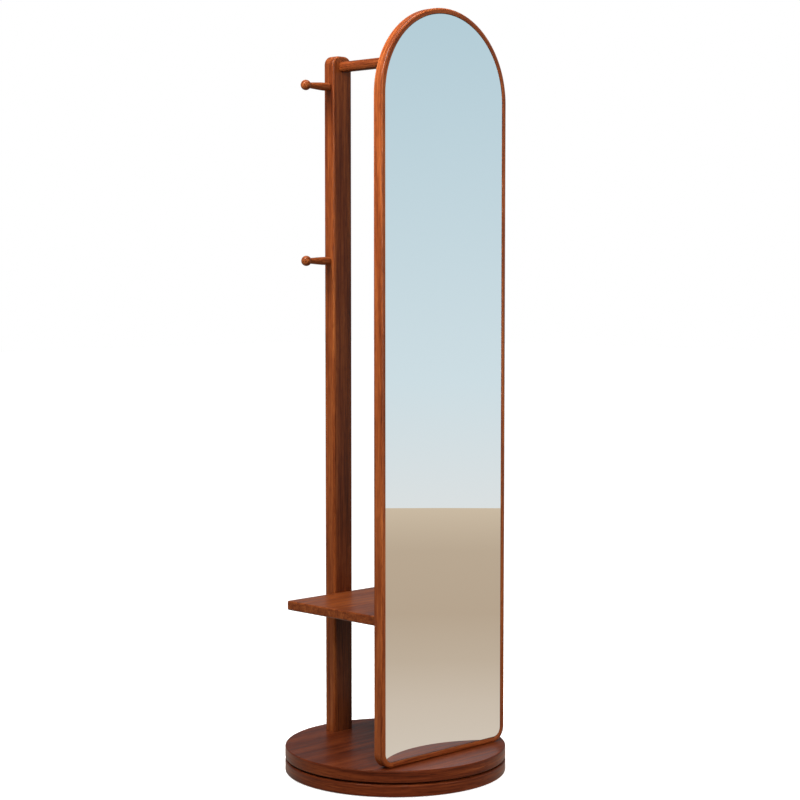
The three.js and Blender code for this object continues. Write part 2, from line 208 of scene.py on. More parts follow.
def finishPiece(piece, name, body, material, nodes, smooth=32):
    makeActive(piece)
    bpy.ops.object.shade_smooth_by_angle(angle=math.radians(smooth))
    flat = piece.modifiers.new("flat faces", "WEIGHTED_NORMAL")
    flat.keep_sharp = True
    bpy.ops.object.modifier_apply(modifier="flat faces")
    piece.name = name
    piece.data.name = name
    piece.data.materials.clear()
    piece.data.materials.append(material)
    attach(piece, body)
    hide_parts(*nodes)
    return piece


def layGrain(piece, place):
    # stores, at each face corner, a place in the board: two ways across the grain, then along it
    mesh = piece.data
    layer = mesh.attributes.new("grain", "FLOAT_VECTOR", "CORNER")
    values = []
    for face in mesh.polygons:
        for corner in face.loop_indices:
            point = mesh.vertices[mesh.loops[corner].vertex_index].co
            values.extend(place(point, face))
    layer.data.foreach_set("vector", values)


def boardGrain(along, offset):
    run = axisIndex[along]
    first, second = [i for i in range(3) if i != run]
    return lambda point, face: (point[first] + offset, point[second], point[run] + offset)


# finishes

def newMaterial(name):
    material = bpy.data.materials.new(name)
    material.use_nodes = True
    nodes = material.node_tree.nodes
    return material, nodes, material.node_tree.links, nodes["Principled BSDF"]


def stretchedNoise(nodes, links, source, scale, detail, distortion=0.0, roughness=0.5):
    mapping = nodes.new("ShaderNodeMapping")
    mapping.inputs["Scale"].default_value = scale
    noise = nodes.new("ShaderNodeTexNoise")
    noise.inputs["Scale"].default_value = 1.0
    noise.inputs["Detail"].default_value = detail
    noise.inputs["Distortion"].default_value = distortion
    noise.inputs["Roughness"].default_value = roughness
    links.new(source, mapping.inputs["Vector"])
    links.new(mapping.outputs["Vector"], noise.inputs["Vector"])
    return noise.outputs["Fac"]


def blended(nodes, links, first, second, share):
    mix = nodes.new("ShaderNodeMix")
    mix.inputs["Factor"].default_value = share
    links.new(first, mix.inputs["A"])
    links.new(second, mix.inputs["B"])
    return mix.outputs["Result"]


def ramped(nodes, links, source, stops):
    ramp = nodes.new("ShaderNodeValToRGB")
    while len(ramp.color_ramp.elements) < len(stops):
        ramp.color_ramp.elements.new(0.5)
    for element, (position, colour) in zip(ramp.color_ramp.elements, stops):
        element.position = position
        element.color = (*colour, 1)
    links.new(source, ramp.inputs["Fac"])
    return ramp.outputs["Color"]


def ranged(nodes, links, source, low, high):
    span = nodes.new("ShaderNodeMapRange")
    span.inputs["From Min"].default_value = 0.3
    span.inputs["From Max"].default_value = 0.7
    span.inputs["To Min"].default_value = low
    span.inputs["To Max"].default_value = high
    links.new(source, span.inputs["Value"])
    return span.outputs["Result"]


def bumped(nodes, links, shader, source, depth, strength):
    bump = nodes.new("ShaderNodeBump")
    bump.inputs["Distance"].default_value = depth
    bump.inputs["Strength"].default_value = strength
    links.new(source, bump.inputs["Height"])
    links.new(bump.outputs["Normal"], shader.inputs["Normal"])


def stainedWood(name, look):
    material, nodes, links, shader = newMaterial(name)
    grain = nodes.new("ShaderNodeAttribute")
    grain.attribute_name = "grain"
    place = grain.outputs["Vector"]
    figure = stretchedNoise(nodes, links, place, (60, 60, 2.4), 3, distortion=0.5)
    streaks = stretchedNoise(nodes, links, place, (260, 260, 6), 4, roughness=0.6)
    fibres = stretchedNoise(nodes, links, place, (1100, 1100, 26), 2)
    pores = stretchedNoise(nodes, links, place, (1300, 1300, 40), 1)
    tone = blended(nodes, links, figure, streaks, 0.5)
    tone = blended(nodes, links, tone, fibres, 0.27)
    colour = ramped(nodes, links, tone, [
        (0.36, look["dark"]), (0.46, look["middle"]), (0.54, look["warm"]), (0.66, look["light"]),
    ])
    poreMask = ramped(nodes, links, pores, [(0.60, (0, 0, 0)), (0.70, (1, 1, 1))])
    pored = nodes.new("ShaderNodeMix")
    pored.data_type = "RGBA"
    pored.blend_type = "MULTIPLY"
    pored.inputs["Factor"].default_value = 1
    poreColour = ramped(nodes, links, poreMask, [(0.0, (1, 1, 1)), (1.0, look["pore"])])
    links.new(colour, pored.inputs["A"])
    links.new(poreColour, pored.inputs["B"])
    links.new(pored.outputs["Result"], shader.inputs["Base Color"])
    links.new(ranged(nodes, links, streaks, *look["roughness"]), shader.inputs["Roughness"])
    shader.inputs["Specular IOR Level"].default_value = look["gloss"]
    shader.inputs["Specular Tint"].default_value = (*look["glossTint"], 1)
    shader.inputs["Coat Weight"].default_value = look["lacquer"]
    shader.inputs["Coat Roughness"].default_value = look["lacquerRoughness"]
    bumped(nodes, links, shader, blended(nodes, links, streaks, poreMask, 0.5), 0.00015, look["relief"])
    return material


walnutLook = {
    "dark": (0.075, 0.012, 0.0030), "middle": (0.185, 0.038, 0.0085),
    "warm": (0.290, 0.070, 0.0160), "light": (0.440, 0.135, 0.0340), "pore": (0.42, 0.30, 0.26),
    "roughness": (0.32, 0.46), "gloss": 0.17, "glossTint": (1.0, 0.56, 0.36),
    "lacquer": 0.09, "lacquerRoughness": 0.14, "relief": 0.40,
}


def darker(look, share):
    tones = ("dark", "middle", "warm", "light")
    return dict(look, **{tone: tuple(channel * share for channel in look[tone]) for tone in tones})


discLook = dict(
    walnutLook, dark=(0.034, 0.0050, 0.0015), middle=(0.088, 0.0148, 0.0040),
    warm=(0.142, 0.0280, 0.0074), light=(0.230, 0.0560, 0.0150), gloss=0.12, lacquer=0.05,
)
boardLook = dict(
    walnutLook, dark=(0.075, 0.022, 0.008), middle=(0.120, 0.037, 0.014),
    warm=(0.160, 0.053, 0.021), light=(0.210, 0.076, 0.032), gloss=0.2, lacquer=0.0, roughness=(0.5, 0.62),
)
beechLook = dict(
    walnutLook, dark=(0.42, 0.26, 0.13), middle=(0.52, 0.34, 0.18),
    warm=(0.58, 0.39, 0.22), light=(0.66, 0.47, 0.28), pore=(0.8, 0.75, 0.7),
    gloss=0.2, lacquer=0.0, roughness=(0.55, 0.68),
)
walnut = stainedWood("walnut", walnutLook)
# the post, rail, shelf and pegs take walnut darkened to 0.76: a shaded copy of the frame's walnut, painted
# shade
shadedStandWalnut = stainedWood("shadedStandWalnut", darker(walnutLook, 0.76))
discWalnut = stainedWood("discWalnut", discLook)
boardFace = stainedWood("boardFace", boardLook)
beech = stainedWood("beech", beechLook)


def silveredGlass():
    material, nodes, links, shader = newMaterial("silveredGlass")
    shader.inputs["Base Color"].default_value = (0.90, 0.93, 0.94, 1)
    shader.inputs["Metallic"].default_value = 1
    place = nodes.new("ShaderNodeTexCoord").outputs["Object"]
    haze = stretchedNoise(nodes, links, place, (3, 3, 2), 2)
    links.new(ranged(nodes, links, haze, 0.0, 0.012), shader.inputs["Roughness"])
    return material


def polishedEdge():
    material, nodes, links, shader = newMaterial("glassEdge")
    place = nodes.new("ShaderNodeTexCoord").outputs["Object"]
    tint = stretchedNoise(nodes, links, place, (40, 40, 40), 2)
    colour = ramped(nodes, links, tint, [(0.35, (0.045, 0.085, 0.072)), (0.65, (0.060, 0.105, 0.090))])
    links.new(colour, shader.inputs["Base Color"])
    shader.inputs["Roughness"].default_value = 0.06
    return material


def platedSteel():
    material, nodes, links, shader = newMaterial("platedSteel")
    place = nodes.new("ShaderNodeTexCoord").outputs["Object"]
    bloom = stretchedNoise(nodes, links, place, (90, 90, 90), 4)
    scuffs = stretchedNoise(nodes, links, place, (900, 900, 120), 2)
    colour = ramped(nodes, links, bloom, [(0.35, (0.46, 0.46, 0.47)), (0.65, (0.62, 0.62, 0.61))])
    links.new(colour, shader.inputs["Base Color"])
    links.new(ranged(nodes, links, scuffs, 0.26, 0.42), shader.inputs["Roughness"])
    shader.inputs["Metallic"].default_value = 1
    bumped(nodes, links, shader, scuffs, 0.00003, 0.3)
    return material


def blackRubber():
    material, nodes, links, shader = newMaterial("blackRubber")
    place = nodes.new("ShaderNodeTexCoord").outputs["Object"]
    speckle = stretchedNoise(nodes, links, place, (1500, 1500, 1500), 3)
    colour = ramped(nodes, links, speckle, [(0.3, (0.012, 0.012, 0.012)), (0.7, (0.030, 0.030, 0.031))])
    links.new(colour, shader.inputs["Base Color"])
    links.new(ranged(nodes, links, speckle, 0.72, 0.9), shader.inputs["Roughness"])
    bumped(nodes, links, shader, speckle, 0.0001, 0.4)
    return material


def brownPlastic():
    material, nodes, links, shader = newMaterial("brownPlastic")
    place = nodes.new("ShaderNodeTexCoord").outputs["Object"]
    skin = stretchedNoise(nodes, links, place, (2200, 2200, 2200), 2)
    colour = ramped(nodes, links, skin, [(0.3, (0.105, 0.034, 0.015)), (0.7, (0.130, 0.044, 0.020))])
    links.new(colour, shader.inputs["Base Color"])
    links.new(ranged(nodes, links, skin, 0.38, 0.5), shader.inputs["Roughness"])
    bumped(nodes, links, shader, skin, 0.00004, 0.35)
    return material


mirrorSilver = silveredGlass()
glassEdge = polishedEdge()
steel = platedSteel()
rubber = blackRubber()
capPlastic = brownPlastic()
print("finishes ready")


# base: two discs that turn on each other

disc = {
    "sides": 192, "rimRound": 0.003, "rimSteps": 6,
    "pocketOuter": 0.151, "pocketInner": 0.111, "pocketDepth": 0.003,
    "pilotRadius": 0.0021, "pilotDepth": 0.013, "padClearance": 0.001,
}


def discGrain(offset):
    def place(point, face):
        if abs(face.normal.z) > 0.85:
            return (point.y + offset, point.z, point.x + offset)
        middle = math.atan2(face.center.x, -face.center.y)  # the band's seam is at the back
        angle = math.atan2(point.x, -point.y)
        angle += 2 * math.pi * round((middle - angle) / (2 * math.pi))
        distance = math.hypot(point.x, point.y)
        return (point.z + offset, distance, angle * distance + offset)
    return place


def discBlank(node, pocketUp):
    low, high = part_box(node)
    radius = high.x
    blank = startRod("z", radius, low.z, high.z, (0, 0), disc["sides"])
    edit()
    roundOff(onLevel("z", low.z, high.z), disc["rimRound"], disc["rimSteps"])
    face = high.z if pocketUp else low.z
    inward = -1 if pocketUp else 1
    pick("FACE", onLevel("z", face))
    bpy.ops.mesh.inset(thickness=radius - disc["rimRound"] - disc["pocketOuter"])
    bpy.ops.mesh.inset(thickness=disc["pocketOuter"] - disc["pocketInner"])

    def inPocket(part):
        away = part.calc_center_median().to_2d().length
        return onLevel("z", face)(part) and disc["pocketInner"] < away < disc["pocketOuter"]

    pick("FACE", inPocket)
    extrudeBy((0, 0, inward * disc["pocketDepth"]))
    doneEditing()
    return blank


def pilotHoles(nodes, pocketFloor, into):
    start, end = pocketFloor - pastFace * into, pocketFloor + disc["pilotDepth"] * into
    return [drill("z", disc["pilotRadius"], node, start, end, 16) for node in nodes]


padNodes = [f"foot_pad_{i}" for i in range(1, 7)]
lowerScrewNodes = [f"lower_race_screw_{i}" for i in range(1, 5)]
upperScrewNodes = [f"upper_race_screw_{i}" for i in range(1, 5)]
mirrorBolts = ["mirror_bolt_left", "mirror_bolt_right"]
postBolts = ["post_bolt_left", "post_bolt_right"]
crossBolts = ["rail_bolt", "shelf_left_bolt", "shelf_right_bolt"]
discBolts = mirrorBolts + postBolts
cleatScrews = ["cleat_screw_left", "cleat_screw_right"]
shelfScrews = ["shelf_screw_left", "shelf_screw_right"]

accessHole = {"radius": 0.005, "circle": 0.143, "angle": 22.5}
accessPlace = [
    accessHole["circle"] * math.cos(math.radians(accessHole["angle"])),
    accessHole["circle"] * math.sin(math.radians(accessHole["angle"])),
]

low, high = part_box("lower_disc")
lowerDisc = discBlank("lower_disc", pocketUp=True)
padLow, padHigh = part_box(padNodes[0])
padRadius = (padHigh.x - padLow.x) / 2
cutOut(lowerDisc, *[
    drill("z", padRadius + disc["padClearance"], node, 0, padHigh.z + fitGap, 64) for node in padNodes
])
cutOut(
    lowerDisc, startRod("z", accessHole["radius"], 0, high.z + pastFace, accessPlace, 40),
    *pilotHoles(lowerScrewNodes, high.z - disc["pocketDepth"], -1),
)
layGrain(lowerDisc, discGrain(0.37))
finishPiece(lowerDisc, "lowerDisc", "base", discWalnut, ["lower_disc"])

bolt = {
    "head": 0.006, "headHeight": 0.004, "headRound": 0.0006, "seatEdge": 0.0002, "shank": 0.003,
    "threaded": 0.026, "pitch": 0.001, "threadDepth": 0.0004, "tip": 0.001,
    "hexRadius": 0.0029, "hexDepth": 0.0024, "recess": 0.006, "recessClearance": 0.001, "sides": 32,
}
low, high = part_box("upper_disc")
upperDisc = discBlank("upper_disc", pocketUp=False)
cutOut(upperDisc, *[
    drill("z", bolt["shank"] + fitGap, node, low.z - pastFace, high.z + pastFace) for node in discBolts
])
headRecess = bolt["head"] + bolt["recessClearance"]
cutOut(upperDisc, *[
    drill("z", headRecess, node, low.z - pastFace, low.z + bolt["recess"], 48) for node in discBolts
])
cutOut(upperDisc, *pilotHoles(upperScrewNodes, low.z + disc["pocketDepth"], 1))
layGrain(upperDisc, discGrain(1.91))
finishPiece(upperDisc, "upperDisc", "turntable", discWalnut, ["upper_disc"])
print("discs done")

footPad = {
    "edge": 0.0008, "lowerSteps": 3, "upperSteps": 2,
    "grooveOuter": 0.011, "grooveInner": 0.0085, "grooveDepth": 0.0005,
}


def makePad():
    middle = middleOf(padNodes[0])
    pad = startRod("z", padRadius, padLow.z, padHigh.z, middle.to_2d(), 64)
    edit()
    roundOff(onLevel("z", padLow.z), footPad["edge"], footPad["lowerSteps"])
    roundOff(onLevel("z", padHigh.z), footPad["edge"] / 2, footPad["upperSteps"])
    pick("FACE", onLevel("z", padLow.z))
    bpy.ops.mesh.inset(thickness=padRadius - footPad["edge"] - footPad["grooveOuter"])
    bpy.ops.mesh.inset(thickness=footPad["grooveOuter"] - footPad["grooveInner"])

    def inGroove(part):
        away = (part.calc_center_median() - middle).to_2d().length
        return onLevel("z", padLow.z)(part) and footPad["grooveInner"] < away < footPad["grooveOuter"]

    pick("FACE", inGroove)
    extrudeBy((0, 0, footPad["grooveDepth"]))
    doneEditing()
    return pad


firstPad = makePad()
padShifts = [middleOf(node) - middleOf(padNodes[0]) for node in padNodes[1:]]
padPieces = [firstPad] + [copyPiece(firstPad, Matrix.Translation(shift)) for shift in padShifts]
for i, (piece, node) in enumerate(zip(padPieces, padNodes), 1):
    finishPiece(piece, f"footPad{i}", "base", rubber, [node])
print("pads done")


# bearing between the discs

bearing = {
    "circle": 0.130, "inner": 0.112, "groove": 0.004, "ball": 0.0037, "balls": 12,
    "cageInner": 0.124, "cageThickness": 0.0016, "edge": 0.0003, "edgeSteps": 2,
    "screwHole": 0.0021, "sides": 160,
}
lowRaceLow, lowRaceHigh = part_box("lower_race")
upRaceLow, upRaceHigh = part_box("upper_race")
ballLevel = middleOf("ball_cage").z


def makeRace(low, high, screwNodes):
    race = startRod("z", high.x, low.z, high.z, (0, 0), bearing["sides"])
    edit()
    roundOff(onLevel("z", low.z, high.z), bearing["edge"], bearing["edgeSteps"])
    doneEditing()
    below, above = low.z - pastFace, high.z + pastFace
    holes = [drill("z", bearing["screwHole"], node, below, above, 24) for node in screwNodes]
    cutOut(race, startRod("z", bearing["inner"], below, above, (0, 0), bearing["sides"]), *holes)
    bpy.ops.object.select_all(action="DESELECT")
    bpy.ops.mesh.primitive_torus_add(
        location=(0, 0, ballLevel), major_radius=bearing["circle"], minor_radius=bearing["groove"],
        major_segments=bearing["sides"], minor_segments=32,
    )
    bpy.ops.object.transform_apply(location=True, rotation=True, scale=True)
    return cutOut(race, bpy.context.object)


lowerRace = makeRace(lowRaceLow, lowRaceHigh, lowerScrewNodes)
cutOut(lowerRace, startRod(
    "z", accessHole["radius"], lowRaceLow.z - pastFace, lowRaceHigh.z + pastFace, accessPlace, 40,
))
finishPiece(lowerRace, "lowerRace", "base", steel, ["lower_race"])
upperRace = makeRace(upRaceLow, upRaceHigh, upperScrewNodes)
finishPiece(upperRace, "upperRace", "turntable", steel, ["upper_race"])


def makeCage():
    bottom = ballLevel - bearing["cageThickness"] / 2
    top = ballLevel + bearing["cageThickness"] / 2
    cage = startRod("z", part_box("ball_cage")[1].x, bottom, top, (0, 0), bearing["sides"])
    edit()
    roundOff(onLevel("z", bottom, top), bearing["edge"], bearing["edgeSteps"])
    doneEditing()
    cutOut(cage, startRod(
        "z", bearing["cageInner"], bottom - pastFace, top + pastFace, (0, 0), bearing["sides"],
    ))
    firstAngle = 90 / bearing["balls"]
    for i in range(bearing["balls"]):
        angle = math.radians(firstAngle + 360 * i / bearing["balls"])
        spot = (bearing["circle"] * math.cos(angle), bearing["circle"] * math.sin(angle), ballLevel)
        bpy.ops.object.select_all(action="DESELECT")
        bpy.ops.mesh.primitive_uv_sphere_add(
            segments=24, ring_count=16, radius=bearing["ball"], location=spot,
        )
        bpy.ops.object.transform_apply(location=True, rotation=True, scale=True)
        cutOut(cage, bpy.context.object, operation="UNION")
    return cage


finishPiece(makeCage(), "ballCage", "ball_cage", steel, ["ball_cage"])
print("bearing done")


# mirror frame: one wooden ring in five pieces

ring = {
    "frontRound": 0.005, "frontSteps": 8, "backRound": 0.0035, "backSteps": 5,
    "insideRound": 0.0012, "insideSteps": 3, "insideBackRound": 0.0006, "insideBackSteps": 2,
    "archSteps": 64, "cornerSteps": 20, "joint": 0.00004,
}
stileLow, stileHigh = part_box("right_stile")
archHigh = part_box("arch_right")[1]
railLow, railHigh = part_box("bottom_rail")
ringWidth = stileHigh.x - stileLow.x
halfWidth = stileHigh.x
archLevel = archHigh.z - halfWidth
ringBottom = railLow.z
cornerLevel = (stileLow.z + railHigh.z) / 2
cornerRadius = cornerLevel - ringBottom
cornerX = halfWidth - cornerRadius


def ringSection(side, level):
    # the ring's section, flat on a level, with its outer edge on the given side
    depth = stileHigh.y - stileLow.y
    bpy.ops.object.select_all(action="DESELECT")
    middle = (side * (halfWidth - ringWidth / 2), (stileLow.y + stileHigh.y) / 2, level)
    bpy.ops.mesh.primitive_plane_add(size=1, location=middle)
    bpy.context.object.scale = (ringWidth, depth, 1)
    bpy.ops.object.transform_apply(location=True, rotation=True, scale=True)
    edit()
    corners = [
        (side * halfWidth, stileLow.y, ring["frontRound"], ring["frontSteps"]),
        (side * halfWidth, stileHigh.y, ring["backRound"], ring["backSteps"]),
        (side * (halfWidth - ringWidth), stileLow.y, ring["insideRound"], ring["insideSteps"]),
        (side * (halfWidth - ringWidth), stileHigh.y, ring["insideBackRound"], ring["insideBackSteps"]),
    ]
    for x, y, size, steps in corners:
        pick("VERT", lambda v: near(v.co.x, x) and near(v.co.y, y))
        bpy.ops.mesh.bevel(offset=size, offset_type="OFFSET", segments=steps, affect="VERTICES")
    bpy.ops.mesh.select_mode(type="FACE")
    bpy.ops.mesh.select_all(action="SELECT")


def spinSection(side, centre, steps, downwards=False):
    # a quarter turn in the plane of the mirror
    way = side if downwards else -side
    bpy.ops.mesh.spin(steps=steps, angle=math.pi / 2, center=centre, axis=(0, -way, 0))


def tidyNormals():
    bpy.ops.mesh.select_all(action="SELECT")
    bpy.ops.mesh.normals_make_consistent(inside=False)
    doneEditing()
    return bpy.context.object


def ringGrain(point, face):
    # how far in from the ring's outer edge, its depth, and the length run round the ring from its foot
    side = 1 if face.center.x > 0 else -1
    x, z = abs(point.x), point.z
    cornerRun = cornerRadius * math.pi / 2
    stileRun = cornerX + cornerRun
    if face.center.z > archLevel:
        across = halfWidth - math.hypot(x, z - archLevel)
        run = stileRun + archLevel - cornerLevel + halfWidth * math.atan2(z - archLevel, x)
    elif face.center.z > cornerLevel:
        across, run = halfWidth - x, stileRun + z - cornerLevel
    elif abs(face.center.x) > cornerX:
        across = cornerRadius - math.hypot(x - cornerX, cornerLevel - z)
        run = cornerX + cornerRadius * math.atan2(x - cornerX, cornerLevel - z)
    else:
        across, run = z - ringBottom, point.x * side
    return (across + 0.8 * side, point.y, side * run)


def makeStile(side):
    ringSection(side, cornerLevel + ring["joint"])
    extrudeBy((0, 0, archLevel - cornerLevel - 2 * ring["joint"]))
    return tidyNormals()


def makeArchHalf(side):
    ringSection(side, archLevel + ring["joint"])
    spinSection(side, (side * ring["joint"], 0, archLevel + ring["joint"]), ring["archSteps"])
    return tidyNormals()


def makeBottomRail():
    ringSection(-1, cornerLevel - ring["joint"])
    spinSection(-1, (-cornerX, 0, cornerLevel - ring["joint"]), ring["cornerSteps"], downwards=True)
    extrudeBy((2 * cornerX, 0, 0))
    spinSection(-1, (cornerX, 0, cornerLevel - ring["joint"]), ring["cornerSteps"], downwards=True)
    return tidyNormals()


def socketFor(axis, node):
    # a hole a little wider and longer than the dowel that it takes
    low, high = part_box(node)
    i = axisIndex[axis]
    radius = (high - low)[(i + 1) % 3] / 2
    return drill(axis, radius + fitGap, node, low[i] - pastFace, high[i] + pastFace)


def boltHole(axis, node, start, end):
    return drill(axis, bolt["shank"] + fitGap, node, start, end)


for side, word in ((-1, "left"), (1, "right")):
    cornerSocket, springSocket = f"dowel_corner_{word}", f"dowel_spring_{word}"
    stile = cutOut(makeStile(side), socketFor("z", cornerSocket), socketFor("z", springSocket))
    arch = cutOut(makeArchHalf(side), socketFor("z", springSocket), socketFor("x", "dowel_crown"))
    layGrain(stile, ringGrain)
    layGrain(arch, ringGrain)
    finishPiece(stile, f"{word}Stile", "turntable", walnut, [f"{word}_stile"])
    finishPiece(arch, f"{word}Arch", "turntable", walnut, [f"arch_{word}"])
bottomRail = cutOut(
    makeBottomRail(), socketFor("z", "dowel_corner_left"), socketFor("z", "dowel_corner_right"),
    *[boltHole("z", node, ringBottom - pastFace, ringBottom + ringWidth + pastFace) for node in mirrorBolts],
)
layGrain(bottomRail, ringGrain)
finishPiece(bottomRail, "bottomRail", "turntable", walnut, ["bottom_rail"])
print("mirror frame done")


# dowels that hold the ring together

dowel = {"sides": 48, "fluteDepth": 0.9, "chamfer": 0.0008}


def makeDowel(node, axis):
    low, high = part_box(node)
    i = axisIndex[axis]
    middle = middleOf(node)
    others = [k for k in range(3) if k != i]
    radius = (high - low)[others[0]] / 2
    pin = startRod(axis, radius, low[i], high[i], acrossOf(node, axis), dowel["sides"])

    def onRim(edge):
        return onLevel(axis, low[i], high[i])(edge) and edge.calc_face_angle(0) > 1

    def everyFourth(edge):
        away = (edge.verts[0].co + edge.verts[1].co) / 2 - middle
        turn = math.degrees(math.atan2(away[others[1]], away[others[0]])) % 360
        return runsAlong(axis)(edge) and round(turn / (360 / dowel["sides"])) % 4 == 0

    edit()
    pick("EDGE", everyFourth)
    size = [dowel["fluteDepth"]] * 3
    size[i] = 1
    bpy.ops.transform.resize(value=size, center_override=tuple(middle))
    roundOff(onRim, dowel["chamfer"], 1)
    doneEditing()
    layGrain(pin, boardGrain(axis, 0.2))
    return pin


dowelAxes = {
    "dowel_corner_left": "z", "dowel_corner_right": "z",
    "dowel_spring_left": "z", "dowel_spring_right": "z", "dowel_crown": "x",
}
for node, axis in dowelAxes.items():
    finishPiece(makeDowel(node, axis), pieceName(node), "turntable", beech, [node])
print("dowels done")


# glass, backing board and post: upright pieces with an arched top

def roundTheOutline(low, high, edge, edgeSteps, footEdge=True):
    def onOutline(e):
        turned = e.calc_face_angle(0) > 1
        return turned and onLevel("y", low.y, high.y)(e) and (footEdge or not onLevel("z", low.z)(e))

    roundOff(onOutline, edge, edgeSteps)
    bpy.ops.mesh.select_all(action="SELECT")
    bpy.ops.mesh.normals_make_consistent(inside=False)
    doneEditing()


def archedPanel(low, high, sides, lowerCorner, edge):
    half = high.x
    springLevel = high.z - half
    panel = startRod("y", half, low.y, high.y, (0, springLevel), sides)
    edit()
    bpy.ops.mesh.select_all(action="SELECT")
    bpy.ops.mesh.bisect(
        plane_co=(0, 0, springLevel), plane_no=(0, 0, 1), use_fill=True, clear_inner=True, threshold=0.00001,
    )
    pick("FACE", onLevel("z", springLevel))
    extrudeBy((0, 0, low.z - springLevel))
    roundOff(lambda e: runsAlong("y")(e) and onLevel("z", low.z)(e), lowerCorner, 12)
    roundTheOutline(low, high, edge, 1)
    return panel


glassPane = {"arris": 0.0006, "sides": 256, "clearance": 0.0005}
low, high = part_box("mirror_glass")
paneCorner = cornerRadius - ringWidth - glassPane["clearance"]
pane = archedPanel(low, high, glassPane["sides"], paneCorner, glassPane["arris"])
finishPiece(pane, "mirrorGlass", "turntable", mirrorSilver, ["mirror_glass"])
pane.data.materials.append(glassEdge)
for face in pane.data.polygons:
    if face.normal.y > -0.99:
        face.material_index = 1

backing = {"edge": 0.0005, "sides": 256, "screwHole": 0.0021, "pastTip": 0.004}


def screwHole(axis, node, start, end):
    return drill(axis, backing["screwHole"], node, start, end, 24)


def uprightBoltHoles(nodes, foot):  # from a piece's foot to a little past each bolt's tip
    return [boltHole("z", node, foot - pastFace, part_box(node)[1].z + backing["pastTip"]) for node in nodes]


low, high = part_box("back_board")
board = archedPanel(low, high, backing["sides"], cornerRadius - ringWidth - fitGap, backing["edge"])
cutOut(
    board, *uprightBoltHoles(mirrorBolts, low.z),
    *[screwHole("y", node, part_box(node)[0].y - pastFace, high.y + pastFace) for node in cleatScrews],
    boltHole("y", "rail_stud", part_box("rail_stud")[0].y - pastFace, high.y + pastFace),
)
layGrain(board, boardGrain("z", 2.3))
finishPiece(board, "backBoard", "turntable", boardFace, ["back_board"])
print("glass and backing board done")

postShape = {
    "corner": 0.020, "cornerSteps": 20, "edge": 0.0055, "edgeSteps": 8,
    "boltSink": 0.005, "pegSocket": 0.0053,
}
low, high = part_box("post")
post = startBlock(low, high)
edit()
roundOff(
    lambda e: runsAlong("y")(e) and onLevel("z", high.z)(e), postShape["corner"], postShape["cornerSteps"],
)
roundTheOutline(low, high, postShape["edge"], postShape["edgeSteps"], footEdge=False)
cutOut(post, *[boltHole("y", node, low.y - pastFace, high.y + pastFace) for node in crossBolts])
cutOut(post, *[
    drill("y", bolt["head"] + fitGap, node, high.y - postShape["boltSink"], high.y + pastFace, 48)
    for node in crossBolts
])
cutOut(post, *uprightBoltHoles(postBolts, low.z))
cutOut(post, *[
    drill("x", postShape["pegSocket"], node, low.x - pastFace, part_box(node)[1].x + pastFace)
    for node in ("peg_upper", "peg_lower")
])
layGrain(post, boardGrain("z", 3.1))
finishPiece(post, "post", "turntable", shadedStandWalnut, ["post"])
print("post done")


# rail, shelf and cleat

rail = {"edge": 0.0012, "edgeSteps": 4, "sides": 96, "holeDepth": 0.032}
low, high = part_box("hanging_rail")
railMiddle = middleOf("hanging_rail")
hangingRail = startRod("y", high.x, low.y, high.y, (0, railMiddle.z), rail["sides"])
edit()
roundOff(onLevel("y", low.y, high.y), rail["edge"], rail["edgeSteps"])
doneEditing()
cutOut(
    hangingRail, boltHole("y", "rail_bolt", high.y - rail["holeDepth"], high.y + pastFace),
    boltHole("y", "rail_stud", low.y - pastFace, low.y + rail["holeDepth"]),
)
layGrain(hangingRail, boardGrain("y", 4.4))
finishPiece(hangingRail, "hangingRail", "turntable", shadedStandWalnut, ["hanging_rail"])

shelf = {"corner": 0.004, "cornerSteps": 8, "edge": 0.0035, "edgeSteps": 7}
low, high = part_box("shelf")
shelfBoard = startBlock(low, high)
edit()
roundOff(runsAlong("z"), shelf["corner"], shelf["cornerSteps"])
roundOff(onLevel("z", low.z, high.z), shelf["edge"], shelf["edgeSteps"])
doneEditing()
cutOut(
    shelfBoard,
    *[boltHole("y", node, high.y - rail["holeDepth"], high.y + pastFace) for node in crossBolts[1:]],
    *[screwHole("z", node, low.z - pastFace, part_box(node)[1].z + pastFace) for node in shelfScrews],
)
layGrain(shelfBoard, boardGrain("x", 5.2))
finishPiece(shelfBoard, "shelf", "turntable", shadedStandWalnut, ["shelf"])

cleat = {"edge": 0.0015, "edgeSteps": 4}
low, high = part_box("shelf_cleat")
cleatBar = startBlock(low, high)
edit()
roundOff(lambda edge: True, cleat["edge"], cleat["edgeSteps"])
doneEditing()
cutOut(cleatBar, *[screwHole("z", node, low.z - pastFace, high.z + pastFace) for node in shelfScrews])
cutOut(cleatBar, *[screwHole("y", node, low.y - pastFace, high.y + pastFace) for node in cleatScrews])
layGrain(cleatBar, boardGrain("x", 6.7))
finishPiece(cleatBar, "shelfCleat", "turntable", discWalnut, ["shelf_cleat"])
print("rail, shelf and cleat done")


# pegs: a tenon, a tapered shank and a ball, turned in one piece

peg = {
    "tenonRadius": 0.005, "tenonLength": 0.018, "tenonChamfer": 0.0008,
    "shoulder": 0.0089, "shoulderRound": 0.001, "shoulderSteps": 5,
    "taperStart": 0.020, "taperPower": 1.14, "taperSteps": 13,
    "neck": 0.0063, "ball": 0.0115, "ballSteps": 28, "ballEndAngle": 178, "sides": 64,
}


